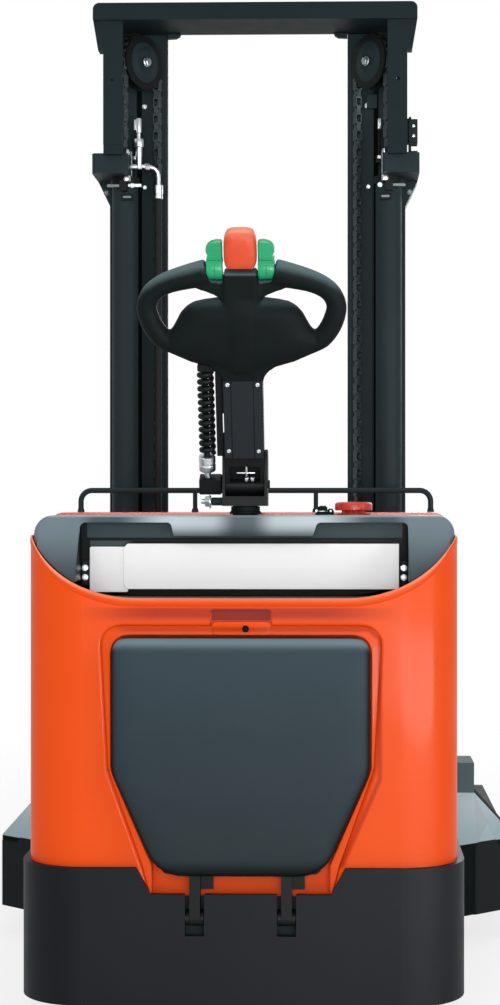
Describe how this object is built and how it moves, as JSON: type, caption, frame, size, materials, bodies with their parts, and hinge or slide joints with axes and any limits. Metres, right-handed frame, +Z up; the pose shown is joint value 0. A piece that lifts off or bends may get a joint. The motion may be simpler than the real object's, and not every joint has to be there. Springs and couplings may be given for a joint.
{
  "type": "pallet stacker",
  "caption": "Electric straddle stacker with fold-up rider platform, tiller steering, telescopic mast with side lift cylinders and leaf chains, fork carriage and straddle legs.",
  "frame": {"origin": "middle of the machine's footprint box, on the floor", "axes": "+Y forward from the operator to the fork tips, +Z up, +X to the operator's right"},
  "size_m": [1.164, 2.1358, 2.074],
  "materials": {
    "orange_cover": "glossy orange moulding",
    "grey_cover": "satin slate grey moulding",
    "white_panel": "satin white paint",
    "dark_skirt": "satin black paint",
    "slate_pad": "satin moulded surface",
    "black_paint": "satin black paint",
    "black_plastic": "fine grain",
    "orange_button": "glossy orange red",
    "green_lever": "glossy green",
    "red_knob": "glossy red",
    "bright_steel": "zinc plated",
    "chrome_rod": "ground and chromed",
    "black_rubber": "matt rubber",
    "wheel_tyre": "polyurethane tread",
    "cast_case": "cast",
    "battery_case": "moulded case"
  },
  "bodies": {
    "chassis": {"skirt": "dark_skirt", "rear_cover": "orange_cover", "top_cover": "grey_cover", "hood": "orange_cover", "rear_panel": "white_panel", "platform_hinges": "black_paint", "chassis_frame": "black_paint", "left_leg": "black_paint", "right_leg": "black_paint", "left_outer_mast": "black_paint", "right_outer_mast": "black_paint", "lift_cylinders": "black_paint", "head_fittings": "bright_steel", "guard_rail": "black_paint", "switch_bases": "black_plastic", "battery": "battery_case", "power_pack": "cast_case", "lift_hose": "black_rubber", "hose_fittings": "bright_steel", "limit_switch": "black_plastic"},
    "steering": {"gearbox": "cast_case", "drive_motor": "cast_case", "steer_column": "black_paint"},
    "drive_wheel": {"drive_hub": "cast_case", "drive_tyre": "wheel_tyre"},
    "tiller": {"tiller_arm": "black_plastic", "tiller_panel": "black_plastic", "tiller_head": "black_plastic", "return_spring": "black_paint", "spring_strut": "bright_steel"},
    "throttle": {"thumb_levers": "green_lever"},
    "belly": {"belly_button": "orange_button"},
    "lift_control": {"lift_button": "black_plastic"},
    "lower_control": {"lower_button": "black_plastic"},
    "horn_control": {"horn_button": "black_plastic"},
    "platform": {"platform_pad": "slate_pad", "platform_tray": "black_paint", "platform_mat": "black_rubber"},
    "inner_mast": {"left_inner_mast": "black_paint", "right_inner_mast": "black_paint", "mast_crossbar": "black_paint", "lift_rods": "chrome_rod", "left_chain": "black_paint", "right_chain": "black_paint"},
    "left_sheave_wheel": {"left_sheave": "black_paint"},
    "right_sheave_wheel": {"right_sheave": "black_paint"},
    "inner_mast_rollers": {"mast_rollers": "bright_steel"},
    "carriage": {"carriage_frame": "black_paint", "left_fork": "black_paint", "right_fork": "black_paint"},
    "lower_carriage_rollers": {"carriage_rollers_low": "bright_steel"},
    "upper_carriage_rollers": {"carriage_rollers_high": "bright_steel"},
    "emergency_stop": {"stop_knob": "red_knob"},
    "key": {"ignition_key": "bright_steel"},
    "left_caster": {"left_caster_fork": "bright_steel"},
    "right_caster": {"right_caster_fork": "bright_steel"},
    "left_caster_roll": {"left_caster_wheel": "wheel_tyre"},
    "right_caster_roll": {"right_caster_wheel": "wheel_tyre"},
    "left_load_roll": {"left_load_wheel": "wheel_tyre"},
    "right_load_roll": {"right_load_wheel": "wheel_tyre"}
  },
  "joints": [
    {"name": "mast_lift", "type": "slide", "parent": "chassis", "child": "inner_mast", "axis": [0, 0, 1], "range_m": [0, 1.35], "deforming": ["left_chain", "right_chain"]},
    {"name": "carriage_lift", "type": "slide", "parent": "inner_mast", "child": "carriage", "axis": [0, 0, 1], "range_m": [0, 1.35]},
    {"name": "left_sheave_spin", "type": "hinge", "parent": "inner_mast", "child": "left_sheave_wheel", "pos_m": [-0.258, -0.3281, 1.96], "axis": [0.809, -0.5878, 0], "continuous": true},
    {"name": "right_sheave_spin", "type": "hinge", "parent": "inner_mast", "child": "right_sheave_wheel", "pos_m": [0.258, -0.3281, 1.96], "axis": [0.809, 0.5878, 0], "continuous": true},
    {"name": "mast_rollers_spin", "type": "hinge", "parent": "inner_mast", "child": "inner_mast_rollers", "pos_m": [0, -0.2171, 0.15], "axis": [1, 0, 0], "continuous": true},
    {"name": "lower_carriage_rollers_spin", "type": "hinge", "parent": "carriage", "child": "lower_carriage_rollers", "pos_m": [0, -0.2171, 0.13], "axis": [1, 0, 0], "continuous": true},
    {"name": "upper_carriage_rollers_spin", "type": "hinge", "parent": "carriage", "child": "upper_carriage_rollers", "pos_m": [0, -0.2171, 0.43], "axis": [1, 0, 0], "continuous": true},
    {"name": "steer", "type": "hinge", "parent": "chassis", "child": "steering", "pos_m": [0, -0.8241, 0.25], "axis": [0, 0, 1], "range_deg": [-90, 90]},
    {"name": "drive_spin", "type": "hinge", "parent": "steering", "child": "drive_wheel", "pos_m": [0, -0.8241, 0.115], "axis": [1, 0, 0], "continuous": true},
    {"name": "tiller_tilt", "type": "hinge", "parent": "steering", "child": "tiller", "pos_m": [0, -0.8241, 1.016], "axis": [1, 0, 0], "range_deg": [0, 55], "stiffness_Nm_per_rad": 18, "springref_deg": -34.38},
    {"name": "throttle_turn", "type": "hinge", "parent": "tiller", "child": "throttle", "pos_m": [0, -1.01175, 1.4184], "axis": [1, 0, 0], "range_deg": [-30, 30], "stiffness_Nm_per_rad": 1},
    {"name": "belly_press", "type": "slide", "parent": "tiller", "child": "belly", "axis": [0, 0.4226, -0.9063], "range_m": [0, 0.008], "stiffness_N_per_m": 600, "springref_m": -0.006},
    {"name": "lift_press", "type": "slide", "parent": "tiller", "child": "lift_control", "axis": [0, -0.9063, -0.4226], "range_m": [0, 0.003], "stiffness_N_per_m": 400, "springref_m": -0.002},
    {"name": "lower_press", "type": "slide", "parent": "tiller", "child": "lower_control", "axis": [0, -0.9063, -0.4226], "range_m": [0, 0.003], "stiffness_N_per_m": 400, "springref_m": -0.002},
    {"name": "horn_press", "type": "slide", "parent": "tiller", "child": "horn_control", "axis": [0, -0.9063, -0.4226], "range_m": [0, 0.003], "stiffness_N_per_m": 400, "springref_m": -0.002},
    {"name": "platform_fold", "type": "hinge", "parent": "chassis", "child": "platform", "pos_m": [0, -1.0051, 0.2], "axis": [1, 0, 0], "range_deg": [0, 90], "stiffness_Nm_per_rad": 40, "springref_deg": -8.59},
    {"name": "stop_press", "type": "slide", "parent": "chassis", "child": "emergency_stop", "axis": [0, 0, -1], "range_m": [0, 0.006]},
    {"name": "key_turn", "type": "hinge", "parent": "chassis", "child": "key", "pos_m": [0.15, -0.7721, 0.96], "axis": [0, 0, 1], "range_deg": [0, 90]},
    {"name": "left_caster_swivel", "type": "hinge", "parent": "chassis", "child": "left_caster", "pos_m": [-0.29, -0.8171, 0.2], "axis": [0, 0, 1], "continuous": true},
    {"name": "right_caster_swivel", "type": "hinge", "parent": "chassis", "child": "right_caster", "pos_m": [0.29, -0.8171, 0.2], "axis": [0, 0, 1], "continuous": true},
    {"name": "left_caster_spin", "type": "hinge", "parent": "left_caster", "child": "left_caster_roll", "pos_m": [-0.29, -0.7811, 0.0625], "axis": [1, 0, 0], "continuous": true},
    {"name": "right_caster_spin", "type": "hinge", "parent": "right_caster", "child": "right_caster_roll", "pos_m": [0.29, -0.7811, 0.0625], "axis": [1, 0, 0], "continuous": true},
    {"name": "left_load_spin", "type": "hinge", "parent": "chassis", "child": "left_load_roll", "pos_m": [-0.527, 0.7379, 0.0635], "axis": [1, 0, 0], "continuous": true},
    {"name": "right_load_spin", "type": "hinge", "parent": "chassis", "child": "right_load_roll", "pos_m": [0.527, 0.7379, 0.0635], "axis": [1, 0, 0], "continuous": true}
  ],
  "couplings": [
    {"joint": "carriage_lift", "follows": "mast_lift", "ratio": 1},
    {"joint": "left_sheave_spin", "follows": "mast_lift", "rad_per_m": 17.857},
    {"joint": "right_sheave_spin", "follows": "mast_lift", "rad_per_m": 17.857},
    {"joint": "mast_rollers_spin", "follows": "mast_lift", "rad_per_m": 23.981},
    {"joint": "lower_carriage_rollers_spin", "follows": "mast_lift", "rad_per_m": 28.011},
    {"joint": "upper_carriage_rollers_spin", "follows": "mast_lift", "rad_per_m": -28.011}
  ]
}
